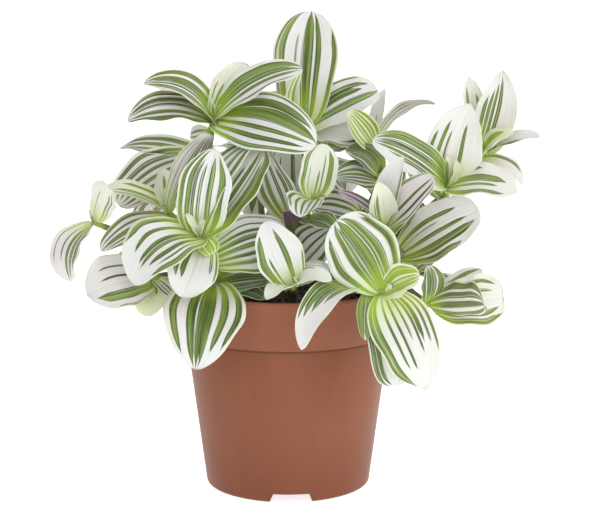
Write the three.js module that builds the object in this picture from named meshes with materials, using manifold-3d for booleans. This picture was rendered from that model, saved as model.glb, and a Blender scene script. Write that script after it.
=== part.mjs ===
// Potted tradescantia: a striped, leafy trailing plant in a plain 12 cm nursery pot.
// Millimetres, +Z up. The origin is the centre of the pot's base and the front faces -Y.
// The pot, the soil and every leafy stem are separate solids. A leafy stem and its leaves
// grew as one piece, so they are joined into one solid.
import * as THREE from "three";
import { mergeVertices } from "three/addons/utils/BufferGeometryUtils.js";
import Module from "manifold-3d";

const wasm = await Module();
wasm.setup();

// ---------------------------------------------------------------- driving sizes
const GAP = 0.35;

const POT = {
  height: 111,
  baseRadius: 44.7,
  wallTopRadius: 55.6,
  collarRadius: 56.8,
  rimRadius: 60,
  collarBottom: 85,
  lipHeight: 2.2,
  lipDepth: 0.5,
  wall: 1.6,
  floor: 2.4,
  footRound: 2.5,
  segments: 40,
};

// Raised drain recesses under the pot: each opens through the wall as a notch.
const DRAIN = {
  count: 3,
  firstAngle: THREE.MathUtils.degToRad(-87.5),
  bottomWidth: 24,
  topWidth: 19,
  height: 5,
  innerRadius: 26,
  outerRadius: 50,
  holeRadius: 4,
  holeAt: 33,
};

const SOIL = { top: 103.5, relief: 1.1, segments: 28, rings: [0.25, 0.6] };

const STEM = { sides: 5, stationsPerStretch: 2, tipShare: 0.72, nodeSwell: 0.5, nodeReach: 0.05 };

const BLADE = {
  thickness: 0.7,
  bendAt: 0.58,
  baseHalfWidth: 1.2,
  tipHalfWidth: 0.5,
  baseRoundness: 0.5,
  tipSharpness: 0.65,
  // Above 0 this moves the steps along a blade towards its tip.
  tipBias: 0.12,
  sheathFold: 55,
  sheathReach: 0.1,
  // One lengthwise step for each of these lengths that the blade exceeds.
  stepLengths: [0, 0, 0, 0, 36, 52],
};

// A leaf leaves its stem at a share of the stem's length and ends at tip. face is the way
// its upper side looks, arch and sweep bow it up and sideways, and fold is the angle of
// each half blade, in degrees.
const leaf = (at, tip, face, width, arch, fold, sweep = 0) =>
  ({ at, tip, face, width, arch, fold, sweep });

// Stem points run from the foot in the soil to the crown.
const SHOOTS = [
  {
    name: "shoot_high_left", radius: 2.4,
    stem: [[-20, -4, 98], [-24, -4, 116], [-38, -6, 145], [-45, -8, 167], [-42, -8, 184], [-39, -8, 203]],
    leaves: [
      leaf(0.96, [-75, -18, 219], [-3, -5, 8], 24, 9, 46),
      leaf(0.95, [-83, -27, 201], [-2, -7, 7], 24, 9, 38),
      leaf(0.97, [15, -32, 189], [1, -8, 5], 35, 9, 14),
      leaf(0.96, [8, -18, 227], [-3, -6, 8], 25, 7, 28),
      leaf(0.96, [-21, 2, 228], [1, -8, 1], 24, 1, 35),
      leaf(0.90, [-52, 2, 190], [-6, -6, 2], 9, 2, 40),
      leaf(0.74, [-93, 22, 149], [-3, 8, 4], 36, 8, 12),
      leaf(0.74, [-92, 26, 181], [0, -5, 8], 19, 4, 25),
      leaf(0.62, [-60, 34, 178], [-1, 4, 8], 26, 7, 18),
    ],
  },
  {
    name: "shoot_inner_left", radius: 2.2,
    stem: [[-30, 8, 98], [-33, 7, 114], [-50, -2, 134], [-64, -15, 153]],
    leaves: [
      leaf(0.96, [-40, -28, 194], [-6, 8, 2], 20, 2, 30),
      leaf(0.96, [-66, -13, 174], [1, -8, 0], 13, 1, 40),
      leaf(0.97, [-99, -20, 163], [0, -4, 8], 17, 5, 40),
      leaf(0.88, [-96, -43, 135], [-2, -7, 6], 19, 7, 24),
    ],
  },
  {
    name: "shoot_far_left", radius: 2.1,
    stem: [[-40, 2, 98], [-43, 1, 112], [-70, -8, 130], [-92, -18, 142], [-103, -22, 147]],
    leaves: [
      leaf(0.96, [-113, -36, 118], [-6, -6, 5], 25, 8, 28, -1.5),
      leaf(0.96, [-92, -36, 167], [6, 6, 3], 18, 2, 20, -3),
    ],
  },
  {
    name: "shoot_front_left", radius: 2.5,
    stem: [[-22, -26, 98], [-26, -29, 112], [-39, -38, 117], [-41, -46, 130], [-45, -52, 145]],
    leaves: [
      leaf(0.96, [-36, -50, 189], [0, -8, 3], 28, 2, 16, 2),
      leaf(0.97, [-13, -32, 187], [-4, -7, 4], 30, 3, 20, -2.5),
      leaf(0.97, [-13, -20, 190], [-4, -4, 8], 24, 12, 15),
      leaf(0.97, [-78, -72, 124], [-3, -7, 6], 37, 14, 16),
      leaf(0.93, [-53, -64, 115], [1, -8, 4], 27, 5, 20),
      leaf(0.96, [-53, -50, 157], [4, -6, 4], 9, 3, 60),
      leaf(0.75, [2, -30, 140], [2, -8, 6], 33, 6, 14),
      leaf(0.50, [-46, -75, 80], [0, -8, 5], 41, 12, 10),
      leaf(0.70, [-66, -18, 136], [-3, -3, 8], 24, 5, 18),
      leaf(0.42, [-10, -43, 110], [0, -4, 8], 16, 3, 15),
      leaf(0.47, [-8, -33, 119], [1, -5, 7], 20, 3, 15),
    ],
  },
  {
    name: "shoot_low_left", radius: 2.1,
    stem: [[-38, -14, 98], [-40, -16, 113], [-52, -28, 119], [-64, -35, 121], [-72, -38, 118]],
    leaves: [
      leaf(0.96, [-102, -58, 115], [-2, -8, 5], 33, 6, 14),
      leaf(0.97, [-72, -54, 103], [1, -8, 3], 18, 3, 25),
      leaf(0.90, [-56, -52, 110], [2, -6, 5], 10, 2, 30),
    ],
  },
  {
    name: "shoot_front_middle", radius: 2.3,
    stem: [[2, -30, 98], [3, -34, 110], [3, -44, 115], [3, -50, 118]],
    leaves: [
      leaf(0.96, [-11, -52, 152], [1, -8, 3], 25, 4, 22, 1),
      leaf(0.95, [-10, -70, 115], [-3, -6, 8], 13, 3, 30),
      leaf(0.97, [24, -38, 126], [-3, -6, 8], 16, 2, 35),
      leaf(0.93, [23, -60, 123], [1, -6, 8], 15, 6, 30),
    ],
  },
  {
    name: "shoot_middle", radius: 2.3,
    stem: [[4, -12, 98], [3, -13, 114], [6, -20, 138], [14, -25, 162]],
    leaves: [
      leaf(0.96, [19, -26, 189], [1, -8, 1], 21, 1, 20),
      leaf(0.96, [7, -50, 154], [-1, -6, 5], 23, 3, 50),
      leaf(0.80, [25, -42, 146], [1, -6, 8], 16, 3, 25),
      leaf(0.70, [-2, -26, 153], [3, -8, 2], 12, 1, 40),
      leaf(0.42, [24, -34, 146], [1, -7, 5], 25, 4, 18),
    ],
  },
  {
    name: "shoot_inner_middle", radius: 2.2,
    stem: [[-8, -4, 98], [-7, -4, 115], [-2, -8, 132], [2, -10, 148]],
    leaves: [
      leaf(0.96, [-13, -14, 184], [-4, -7, 3], 22, 2, 22),
      leaf(0.96, [1, -5, 189], [-3, -8, 1], 18, 1, 25),
      leaf(0.45, [-30, -19, 111], [-1, -5, 8], 24, 4, 15),
    ],
  },
  {
    name: "shoot_high_middle", radius: 2.3,
    stem: [[-2, 18, 98], [-2, 18, 116], [4, 20, 150], [9, 22, 198]],
    leaves: [
      leaf(0.96, [13, 36, 255], [0, -9, 2], 35, 9, 12, 1.5),
      leaf(0.95, [49, 20, 213], [0, -7, 7], 27, 5, 22),
      leaf(0.96, [8, 2, 226], [3, -8, 0], 9, 1, 50, 8),
      leaf(0.95, [-22, 44, 204], [-3, 1, 8], 26, 8, 18),
      leaf(0.72, [-18, 34, 158], [-1, -4, 8], 24, 5, 18),
      leaf(0.75, [38, 30, 170], [2, -2, 8], 22, 5, 18),
    ],
  },
  {
    name: "shoot_high_right", radius: 2.2,
    stem: [[22, 14, 98], [23, 14, 116], [40, 16, 142], [50, 13, 166], [46, 12, 186]],
    leaves: [
      leaf(0.96, [32, -6, 204], [-1, -8, 4], 16, 3, 30),
      leaf(0.97, [15, 16, 188], [0, -6, 8], 22, 5, 18),
      leaf(0.95, [22, 10, 180], [1, 4, 8], 18, 2, 20),
      leaf(0.76, [31, 0, 182], [-1, -8, 3], 14, 2, 25, -5),
      leaf(0.96, [79, 4, 207], [-3, 5, 7], 13, 8.5, 22),
      leaf(0.96, [53, 26, 213], [-1, -8, 0], 8, 0, 35, 2),
      leaf(0.72, [25, -8, 169], [-1, -7, 6], 20, 3, 18),
      leaf(0.50, [12, -4, 152], [-1, -8, 4], 26, 3, 18),
    ],
  },
  {
    name: "shoot_far_right", radius: 2.2,
    stem: [[38, 16, 98], [40, 16, 114], [72, 18, 144], [96, 12, 166], [107, 10, 181]],
    leaves: [
      leaf(0.96, [116, 16, 224], [-1, -9, 1], 23, 2, 20, -2),
      leaf(0.96, [98, 20, 220], [3, -8, 0], 15, 0, 30),
      leaf(0.96, [121, 0, 192], [0, -6, 8], 14, 3, 50),
      leaf(0.97, [135, 0, 190], [1, -4, 8], 13, 3, 30),
      leaf(0.90, [127, 6, 163], [4, -6, 4], 13, 6, 50),
      leaf(0.70, [112, 42, 168], [2, 3, 8], 22, 6, 18),
    ],
  },
  {
    name: "shoot_right", radius: 2.3,
    stem: [[34, -6, 98], [36, -7, 113], [59, -12, 127], [80, -12, 148], [85, -12, 167]],
    leaves: [
      leaf(0.96, [97, -4, 208], [0, -9, 2], 31, 2, 16, 2),
      leaf(0.97, [44, -30, 191], [1, -8, 6], 25, 6, 20),
      leaf(0.95, [120, -30, 164], [1, -6, 8], 28, 6, 18),
      leaf(0.96, [88, -20, 180], [5, -5, 0], 9, 1, 70),
      leaf(0.50, [100, -28, 155], [0, -9, 5], 30, 4, 12),
      leaf(0.60, [70, -2, 156], [3, -6, 3], 12, 2, 30),
      leaf(0.85, [64, 20, 176], [-2, 1, 8], 20, 4, 20),
    ],
  },
  {
    name: "shoot_inner_right", radius: 2.1,
    stem: [[30, -22, 98], [31, -22, 112], [46, -26, 130], [52, -28, 148]],
    leaves: [
      leaf(0.96, [26, -42, 166], [-1, -5, 6], 9, 3, 35),
      leaf(0.96, [47, -47, 172], [0, -8, 2], 16, 1, 30),
      leaf(0.96, [60, -41, 184], [-3, -8, 2], 15, 2, 30, 3),
      leaf(0.96, [75, -44, 174], [-2, -8, 4], 18, 4, 25),
      leaf(0.80, [66, -6, 158], [-3, -7, 3], 16, 3, 20),
    ],
  },
  {
    name: "shoot_front_right", radius: 2.4,
    stem: [[27, -36, 98], [29, -38, 111], [35, -46, 116], [44, -52, 117], [51, -55, 115]],
    leaves: [
      leaf(0.96, [25, -50, 152], [-1, -9, 2], 37, 2, 14, -2),
      leaf(0.96, [67, -68, 127], [-1, -7, 5], 19, 3, 35),
      leaf(0.96, [71, -70, 69], [2, -9, 4], 35, 9, 14, -2),
      leaf(0.90, [58, -62, 69], [-1, -9, 3], 25, 6, 14),
      leaf(0.55, [7, -78, 91], [-4, -7, 5], 20, 15, 22),
      leaf(0.70, [40, -66, 93], [-2, -9, 4], 10, 4, 25),
    ],
  },
  {
    name: "shoot_low_right", radius: 2.1,
    stem: [[42, -10, 98], [45, -11, 111], [58, -18, 114.5], [68, -23, 108], [76, -26, 102]],
    leaves: [
      leaf(0.96, [102, -44, 107], [0, 8, 3], 30, -2, 80),
      leaf(0.98, [115, -16, 106], [2, -8, 2], 28, 2, 20),
      leaf(0.96, [104, -12, 120], [-3, -7, 4], 13, 2, 30),
      leaf(0.92, [73, -40, 127], [3, -7, 0], 15, 2, 40, -1),
    ],
  },
  {
    name: "shoot_back_left", radius: 2.2,
    stem: [[-26, 20, 98], [-28, 21, 114], [-45, 32, 134], [-56, 40, 150]],
    leaves: [
      leaf(0.96, [-88, 46, 152], [-2, 1, 8], 26, 6, 20),
      leaf(0.97, [-62, 80, 158], [-1, 5, 8], 29, 8, 18),
      leaf(0.96, [-34, 44, 176], [-1, -3, 8], 22, 4, 20),
      leaf(0.90, [-86, 64, 128], [-3, 5, 7], 31, 9, 14),
      leaf(0.96, [-54, 28, 172], [5, -5, 1], 16, 2, 35),
    ],
  },
  {
    name: "shoot_back_middle", radius: 2.3,
    stem: [[-10, 36, 98], [-11, 37, 114], [-15, 46, 142], [-17, 54, 166]],
    leaves: [
      leaf(0.96, [-46, 68, 176], [-3, 2, 8], 26, 6, 18),
      leaf(0.97, [-14, 96, 160], [0, 5, 8], 31, 9, 16),
      leaf(0.96, [12, 68, 182], [2, 1, 8], 24, 6, 20),
      leaf(0.96, [-30, 44, 190], [5, -4, 2], 18, 2, 30),
      leaf(0.85, [-22, 86, 132], [-1, 7, 6], 29, 9, 16),
    ],
  },
  {
    name: "shoot_back_high", radius: 2.2,
    stem: [[14, 34, 98], [15, 35, 115], [21, 42, 150], [24, 46, 178]],
    leaves: [
      leaf(0.96, [26, 84, 180], [0, 4, 8], 29, 8, 18),
      leaf(0.97, [54, 60, 184], [3, 1, 8], 25, 7, 20),
      leaf(0.96, [4, 58, 198], [-4, 4, 6], 20, 4, 28),
      leaf(0.75, [34, 80, 146], [1, 7, 5], 30, 8, 16),
      leaf(0.96, [30, 34, 198], [-2, 7, 2], 14, 2, 40),
    ],
  },
  {
    name: "shoot_back_right", radius: 2.2,
    stem: [[36, 28, 98], [38, 29, 113], [50, 38, 132], [58, 44, 148]],
    leaves: [
      leaf(0.96, [92, 44, 148], [3, 1, 8], 27, 7, 18),
      leaf(0.97, [76, 80, 146], [2, 5, 8], 30, 9, 16),
      leaf(0.96, [51, 76, 158], [-2, 4, 8], 23, 6, 22),
      leaf(0.96, [66, 32, 174], [-4, 6, 3], 16, 2, 35),
      leaf(0.85, [86, 64, 118], [4, 5, 6], 31, 9, 14),
    ],
  },
  {
    name: "shoot_back_low", radius: 2.2,
    stem: [[0, 46, 98], [0, 48, 112], [-2, 57, 119], [-6, 68, 116]],
    leaves: [
      leaf(0.96, [-12, 98, 88], [0, 8, 5], 32, 8, 12),
      leaf(0.97, [28, 86, 116], [3, 5, 8], 26, 8, 18),
      leaf(0.97, [-38, 86, 118], [-3, 5, 8], 28, 8, 18),
      leaf(0.96, [-8, 76, 142], [0, 8, 2], 20, 2, 30),
    ],
  },
  {
    name: "shoot_side_right", radius: 2.1,
    stem: [[46, 8, 98], [48, 8, 111], [58, 13, 114], [67, 18, 112]],
    leaves: [
      leaf(0.96, [96, 6, 100], [3, -1, 8], 23, 4, 18),
      leaf(0.97, [88, 44, 98], [5, 4, 7], 26, 6, 16),
      leaf(0.96, [96, 24, 138], [2, -4, 6], 19, 3, 28),
      leaf(0.80, [63, 44, 116], [0, 6, 7], 18, 3, 25),
    ],
  },
  {
    name: "shoot_side_left", radius: 2.1,
    stem: [[-46, 16, 98], [-48, 16, 112], [-60, 20, 120], [-70, 24, 124]],
    leaves: [
      leaf(0.96, [-93, 16, 112], [-4, -1, 8], 25, 7, 18),
      leaf(0.97, [-86, 50, 106], [-5, 4, 7], 29, 9, 16),
      leaf(0.96, [-76, 24, 150], [-5, -4, 3], 19, 2, 28),
      leaf(0.80, [-54, 46, 122], [0, 6, 7], 20, 4, 25),
    ],
  },
];

// ---------------------------------------------------------------- solids and meshes
const vector = (values) => new THREE.Vector3(...values);

// Turns a closed geometry into a solid with its faces pointing out.
function solidOf(geometry) {
  const bare = new THREE.BufferGeometry();
  bare.setAttribute("position", geometry.getAttribute("position"));
  bare.setIndex(geometry.getIndex());
  const merged = mergeVertices(bare, 1e-4);
  const position = merged.getAttribute("position");
  const index = merged.getIndex();
  const corners = [0, 1, 2].map(() => new THREE.Vector3());
  const triangles = [];
  let volume = 0;
  for (let i = 0; i < index.count; i += 3) {
    const [a, b, c] = [index.getX(i), index.getX(i + 1), index.getX(i + 2)];
    if (a === b || b === c || c === a) continue;
    [a, b, c].forEach((vertex, k) => corners[k].fromBufferAttribute(position, vertex));
    volume += corners[0].dot(corners[1].clone().cross(corners[2]));
    triangles.push([a, b, c]);
  }
  const outward = volume > 0 ? triangles : triangles.map(([a, b, c]) => [a, c, b]);
  return new wasm.Manifold(new wasm.Mesh({
    numProp: 3,
    vertProperties: new Float32Array(position.array),
    triVerts: new Uint32Array(outward.flat()),
  }));
}

// Joins solids that grew together and keeps the one outer body.
function fused(solids) {
  const joined = solids.reduce((whole, piece) => whole.add(piece));
  const bodies = joined.decompose();
  return bodies.reduce((best, body) => (body.volume() > best.volume() ? body : best));
}

function meshOf(name, solid, material) {
  const { vertProperties, triVerts } = solid.getMesh();
  const geometry = new THREE.BufferGeometry();
  geometry.setAttribute("position", new THREE.BufferAttribute(vertProperties, 3));
  geometry.setIndex(new THREE.BufferAttribute(triVerts, 1));
  geometry.computeVertexNormals();
  const mesh = new THREE.Mesh(geometry, material);
  mesh.name = name;
  return mesh;
}

// Spans closed rings of points with quads and closes both ends. mirrored(i) turns the
// diagonal of the quads that start at ring point i, so that both faces of a thin blade
// are split alike.
function loft(rings, mirrored = () => false) {
  const count = rings[0].length;
  const position = rings.flat().flatMap((point) => point.toArray());
  const index = [];
  for (let station = 0; station + 1 < rings.length; station += 1) {
    for (let i = 0; i < count; i += 1) {
      const next = (i + 1) % count;
      const [a, b] = [station * count + i, station * count + next];
      const [c, d] = [a + count, b + count];
      if (mirrored(i)) index.push(a, b, c, b, d, c);
      else index.push(a, b, d, a, d, c);
    }
  }
  const last = (rings.length - 1) * count;
  for (let i = 1; i + 1 < count; i += 1) {
    index.push(0, i + 1, i, last, last + i, last + i + 1);
  }
  const geometry = new THREE.BufferGeometry();
  geometry.setAttribute("position", new THREE.Float32BufferAttribute(position, 3));
  geometry.setIndex(index);
  return geometry;
}

// A turned solid: the profile is [radius, height] pairs round the Z axis.
function turned(profile, segments) {
  const points = profile.map(([radius, height]) => new THREE.Vector2(radius, height));
  return new THREE.LatheGeometry(points, segments).rotateX(Math.PI / 2);
}

// ---------------------------------------------------------------- pot
const innerWallTop = POT.wallTopRadius - POT.wall;
const innerCollarTop = POT.rimRadius - POT.wall;
const innerCollarBottom = POT.collarRadius - POT.wall;

function innerRadiusAt(height) {
  const share = (height - POT.floor) / (POT.collarBottom - POT.floor);
  return THREE.MathUtils.lerp(POT.baseRadius - POT.wall, innerWallTop, share);
}

function footCorner(steps) {
  return Array.from({ length: steps + 1 }, (_, i) => {
    const angle = (i / steps - 1) * (Math.PI / 2);
    return [
      POT.baseRadius - POT.footRound + POT.footRound * Math.cos(angle),
      POT.footRound + POT.footRound * Math.sin(angle),
    ];
  });
}

function potProfile() {
  const lipRadius = POT.rimRadius - POT.lipDepth;
  return [
    [0, 0],
    ...footCorner(2),
    [POT.wallTopRadius, POT.collarBottom - 1],
    [POT.collarRadius, POT.collarBottom],
    [lipRadius, POT.height - POT.lipHeight - 0.6],
    [POT.rimRadius, POT.height - POT.lipHeight],
    [POT.rimRadius, POT.height - 0.5],
    [POT.rimRadius - 0.5, POT.height],
    [innerCollarTop + 0.4, POT.height],
    [innerCollarTop, POT.height - 0.5],
    [innerCollarBottom, POT.collarBottom + 1],
    [innerWallTop, POT.collarBottom - 1],
    [innerRadiusAt(POT.floor), POT.floor],
    [0, POT.floor],
  ];
}

// A wedge-sided block that lies along a radius of the pot, grown by a margin.
function recessBlock(angle, margin, bottom) {
  const top = DRAIN.height + margin;
  const outline = new THREE.Shape([
    new THREE.Vector2(-DRAIN.bottomWidth / 2 - margin, bottom),
    new THREE.Vector2(DRAIN.bottomWidth / 2 + margin, bottom),
    new THREE.Vector2(DRAIN.topWidth / 2 + margin, top),
    new THREE.Vector2(-DRAIN.topWidth / 2 - margin, top),
  ]);
  const inner = DRAIN.innerRadius - margin;
  const depth = DRAIN.outerRadius - inner;
  const block = new THREE.ExtrudeGeometry(outline, { depth, bevelEnabled: false, steps: 1 });
  // The outline stands in a plane across the radius, and the extrusion runs outwards.
  const outwards = new THREE.Vector3(Math.cos(angle), Math.sin(angle), 0);
  const upwards = new THREE.Vector3(0, 0, 1);
  const across = new THREE.Vector3().crossVectors(upwards, outwards);
  const place = new THREE.Matrix4().makeBasis(across, upwards, outwards);
  place.setPosition(outwards.clone().multiplyScalar(inner));
  return solidOf(block.applyMatrix4(place));
}

const drainAngles = Array.from({ length: DRAIN.count }, (_, i) =>
  DRAIN.firstAngle + (i * 2 * Math.PI) / DRAIN.count);

function potCore(radiusMargin, bottom, top) {
  return solidOf(turned([
    [0, bottom],
    [innerRadiusAt(bottom) + radiusMargin, bottom],
    [innerRadiusAt(top) + radiusMargin, top],
    [0, top],
  ], POT.segments));
}

function potSolid() {
  let pot = solidOf(turned(potProfile(), POT.segments));
  const inside = potCore(POT.wall / 2, POT.floor / 2, POT.collarBottom / 2);
  for (const angle of drainAngles) {
    pot = pot.add(recessBlock(angle, POT.wall, POT.floor / 2).intersect(inside));
  }
  for (const angle of drainAngles) {
    pot = pot.subtract(recessBlock(angle, 0, -1));
    const hole = new THREE.CylinderGeometry(DRAIN.holeRadius, DRAIN.holeRadius, 12, 16);
    hole.rotateX(Math.PI / 2);
    hole.translate(DRAIN.holeAt * Math.cos(angle), DRAIN.holeAt * Math.sin(angle), DRAIN.height);
    pot = pot.subtract(solidOf(hole));
  }
  return pot;
}

// ---------------------------------------------------------------- soil
function soilHeight(x, y) {
  const waves = Math.sin(0.31 * x + 1.3) * Math.cos(0.27 * y - 0.4) + 0.6 * Math.sin(0.53 * y + 0.47 * x);
  return SOIL.top + SOIL.relief * waves * 0.7;
}

function soilSolid() {
  const bottom = POT.floor + GAP;
  const collarInner = THREE.MathUtils.mapLinear(
    SOIL.top, POT.collarBottom + 1, POT.height - 0.5, innerCollarBottom, innerCollarTop);
  const edge = collarInner - GAP - 0.2;
  const profile = [
    [0, bottom],
    [innerRadiusAt(bottom) - GAP, bottom],
    [innerWallTop - GAP, POT.collarBottom - 1],
    [innerCollarBottom - GAP, POT.collarBottom + 2],
    [edge, SOIL.top - 2],
    ...SOIL.rings.toReversed().map((share) => [edge * share, SOIL.top]),
    [0, SOIL.top],
  ];
  const body = turned(profile, SOIL.segments);
  const position = body.getAttribute("position");
  for (let i = 0; i < position.count; i += 1) {
    if (position.getZ(i) < SOIL.top - 1) continue;
    position.setZ(i, soilHeight(position.getX(i), position.getY(i)));
  }
  let soil = solidOf(body);
  for (const angle of drainAngles) {
    soil = soil.subtract(recessBlock(angle, POT.wall + GAP, 0));
  }
  for (const shoot of SHOOTS) {
    soil = soil.subtract(stemSolid(shoot, GAP + 0.1));
  }
  return fused([soil]);
}

// ---------------------------------------------------------------- leafy stems
function stemCurve(shoot) {
  return new THREE.CatmullRomCurve3(shoot.stem.map(vector), false, "catmullrom", 0.5);
}

// The stem tapers to its crown and swells a little where each leaf grows.
function stemRadius(shoot, share) {
  const nearest = Math.min(...shoot.leaves.map((one) => Math.abs(one.at - share)));
  const swell = STEM.nodeSwell * Math.exp(-((nearest / STEM.nodeReach) ** 2));
  return shoot.radius * THREE.MathUtils.lerp(1, STEM.tipShare, share) + swell;
}

// margin widens the stem and lengthens its foot, which gives the hole it stands in.
function stemSolid(shoot, margin = 0) {
  const curve = stemCurve(shoot);
  const steps = (shoot.stem.length - 1) * STEM.stationsPerStretch;
  const side = new THREE.Vector3(1, 0, 0);
  const rings = [];
  for (let i = 0; i <= steps; i += 1) {
    const share = i / steps;
    const tangent = curve.getTangent(share);
    side.addScaledVector(tangent, -side.dot(tangent)).normalize();
    const other = new THREE.Vector3().crossVectors(tangent, side);
    const centre = curve.getPoint(share);
    if (i === 0) centre.addScaledVector(tangent, -margin);
    const radius = stemRadius(shoot, share) + margin;
    rings.push(Array.from({ length: STEM.sides }, (_, k) => {
      const angle = (k / STEM.sides) * 2 * Math.PI;
      return centre.clone()
        .addScaledVector(side, radius * Math.cos(angle))
        .addScaledVector(other, radius * Math.sin(angle));
    }));
  }
  return solidOf(loft(rings));
}

// Width of a blade along its length, as a share of its full width.
function bladeProfile(share) {
  const { baseRoundness, tipSharpness } = BLADE;
  const widest = baseRoundness / (baseRoundness + tipSharpness);
  const shape = (s) => s ** baseRoundness * (1 - s) ** tipSharpness;
  return shape(share) / shape(widest);
}

function halfWidthAt(spec, share) {
  const least = share < 0.5 ? BLADE.baseHalfWidth : BLADE.tipHalfWidth;
  return Math.max((spec.width / 2) * bladeProfile(share), least);
}

function bladeSolid(base, spec) {
  const tip = vector(spec.tip);
  const chord = tip.clone().sub(base);
  const along = chord.clone().normalize();
  const upper = vector(spec.face);
  upper.addScaledVector(along, -upper.dot(along)).normalize();
  const across = new THREE.Vector3().crossVectors(upper, along);
  const bend = base.clone()
    .addScaledVector(chord, BLADE.bendAt)
    .addScaledVector(upper, 2 * spec.arch)
    .addScaledVector(across, 2 * spec.sweep);
  const midrib = new THREE.QuadraticBezierCurve3(base, bend, tip);
  const length = chord.length();
  const steps = BLADE.stepLengths.filter((least) => length > least).length;
  const rings = [];
  for (let i = 0; i <= steps; i += 1) {
    const share = (i / steps) ** (1 - BLADE.tipBias);
    const centre = midrib.getPoint(share);
    const tangent = midrib.getTangent(share);
    const side = across.clone().addScaledVector(tangent, -across.dot(tangent)).normalize();
    const up = new THREE.Vector3().crossVectors(tangent, side);
    const sheath = Math.exp(-share / BLADE.sheathReach);
    const fold = THREE.MathUtils.degToRad(THREE.MathUtils.lerp(spec.fold, BLADE.sheathFold, sheath));
    const curveRadius = halfWidthAt(spec, share) / fold;
    const topSide = [];
    const underside = [];
    for (const edge of [-1, 0, 1]) {
      const angle = fold * edge;
      const middle = centre.clone()
        .addScaledVector(side, curveRadius * Math.sin(angle))
        .addScaledVector(up, curveRadius * (1 - Math.cos(angle)));
      const normal = up.clone().multiplyScalar(Math.cos(angle))
        .addScaledVector(side, -Math.sin(angle));
      topSide.push(middle.clone().addScaledVector(normal, BLADE.thickness / 2));
      underside.unshift(middle.clone().addScaledVector(normal, -BLADE.thickness / 2));
    }
    rings.push([...topSide, ...underside]);
  }
  // Ring points 0 to 2 cross the top and 3 to 5 come back underneath.
  return solidOf(loft(rings, (i) => i === 0 || i === 4));
}

function shootSolid(shoot) {
  const curve = stemCurve(shoot);
  const blades = shoot.leaves.map((spec) => bladeSolid(curve.getPoint(spec.at), spec));
  return fused([stemSolid(shoot), ...blades]);
}

// ---------------------------------------------------------------- the whole plant
const terracotta = new THREE.MeshStandardMaterial({ color: 0x9c6149, roughness: 0.5, metalness: 0 });
const darkEarth = new THREE.MeshStandardMaterial({ color: 0x2b221c, roughness: 0.95, metalness: 0 });
const leafGreen = () => new THREE.MeshStandardMaterial({ color: 0x8fae5a, roughness: 0.5, metalness: 0 });

const plant = new THREE.Group();
plant.name = "potted_tradescantia";
plant.add(meshOf("pot", potSolid(), terracotta));
plant.add(meshOf("soil", soilSolid(), darkEarth));
for (const shoot of SHOOTS) {
  plant.add(meshOf(shoot.name, shootSolid(shoot), leafGreen()));
}

export default plant;
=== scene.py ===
import math
from types import SimpleNamespace

import bpy
import numpy as np
from mathutils import Euler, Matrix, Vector


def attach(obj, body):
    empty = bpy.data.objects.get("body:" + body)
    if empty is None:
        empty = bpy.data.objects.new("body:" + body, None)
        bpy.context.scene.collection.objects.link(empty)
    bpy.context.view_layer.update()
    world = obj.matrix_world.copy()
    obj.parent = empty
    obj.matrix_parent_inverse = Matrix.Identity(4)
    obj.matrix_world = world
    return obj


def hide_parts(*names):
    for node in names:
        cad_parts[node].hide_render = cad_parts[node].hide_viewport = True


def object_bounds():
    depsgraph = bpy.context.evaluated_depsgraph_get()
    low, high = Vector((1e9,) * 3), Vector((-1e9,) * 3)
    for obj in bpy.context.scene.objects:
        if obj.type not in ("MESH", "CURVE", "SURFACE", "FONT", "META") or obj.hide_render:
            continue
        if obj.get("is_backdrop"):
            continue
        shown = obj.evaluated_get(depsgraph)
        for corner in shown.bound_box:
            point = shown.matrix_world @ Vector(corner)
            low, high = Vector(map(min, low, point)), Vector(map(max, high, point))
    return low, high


# A potted tradescantia: striped leaves on knotted stems in a plain terracotta-coloured
# nursery pot. Shapes are worked out in millimetres and written in metres. The front
# faces -Y, and the origin is the centre of the pot's base.
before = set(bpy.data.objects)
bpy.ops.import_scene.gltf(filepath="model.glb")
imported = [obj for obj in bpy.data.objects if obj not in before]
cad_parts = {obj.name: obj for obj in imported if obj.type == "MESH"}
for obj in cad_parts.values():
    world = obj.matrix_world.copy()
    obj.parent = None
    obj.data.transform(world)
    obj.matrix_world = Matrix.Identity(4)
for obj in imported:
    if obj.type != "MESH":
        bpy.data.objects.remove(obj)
cad_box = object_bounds()

MM = 0.001


# ---- the plant, stem by stem
def leaf(tip, face, width, arch, fold, stripes="", at=0.96, sweep=0, white=0.5, tone=0, point=0.64):
    """One leaf: its tip, the way its upper side looks, its width, its bow, the angle of each
    half blade, its green stripes (random if there are none), its place on the stem, its
    sideways bow, the white that random stripes leave, its tone (young above 0; below 0,
    painted shade with a mauve tint, and purple past -1.1) and how pointed it is."""
    return SimpleNamespace(**locals())


SHOOTS = []


def shoot(name, radius, stem, leaves, young=None):
    """Adds one leafy stem, by the points of its stem from the soil to the crown. Its crown
    holds the young leaves, or two rolled ones where none are given."""
    SHOOTS.append(SimpleNamespace(**locals()))


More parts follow.
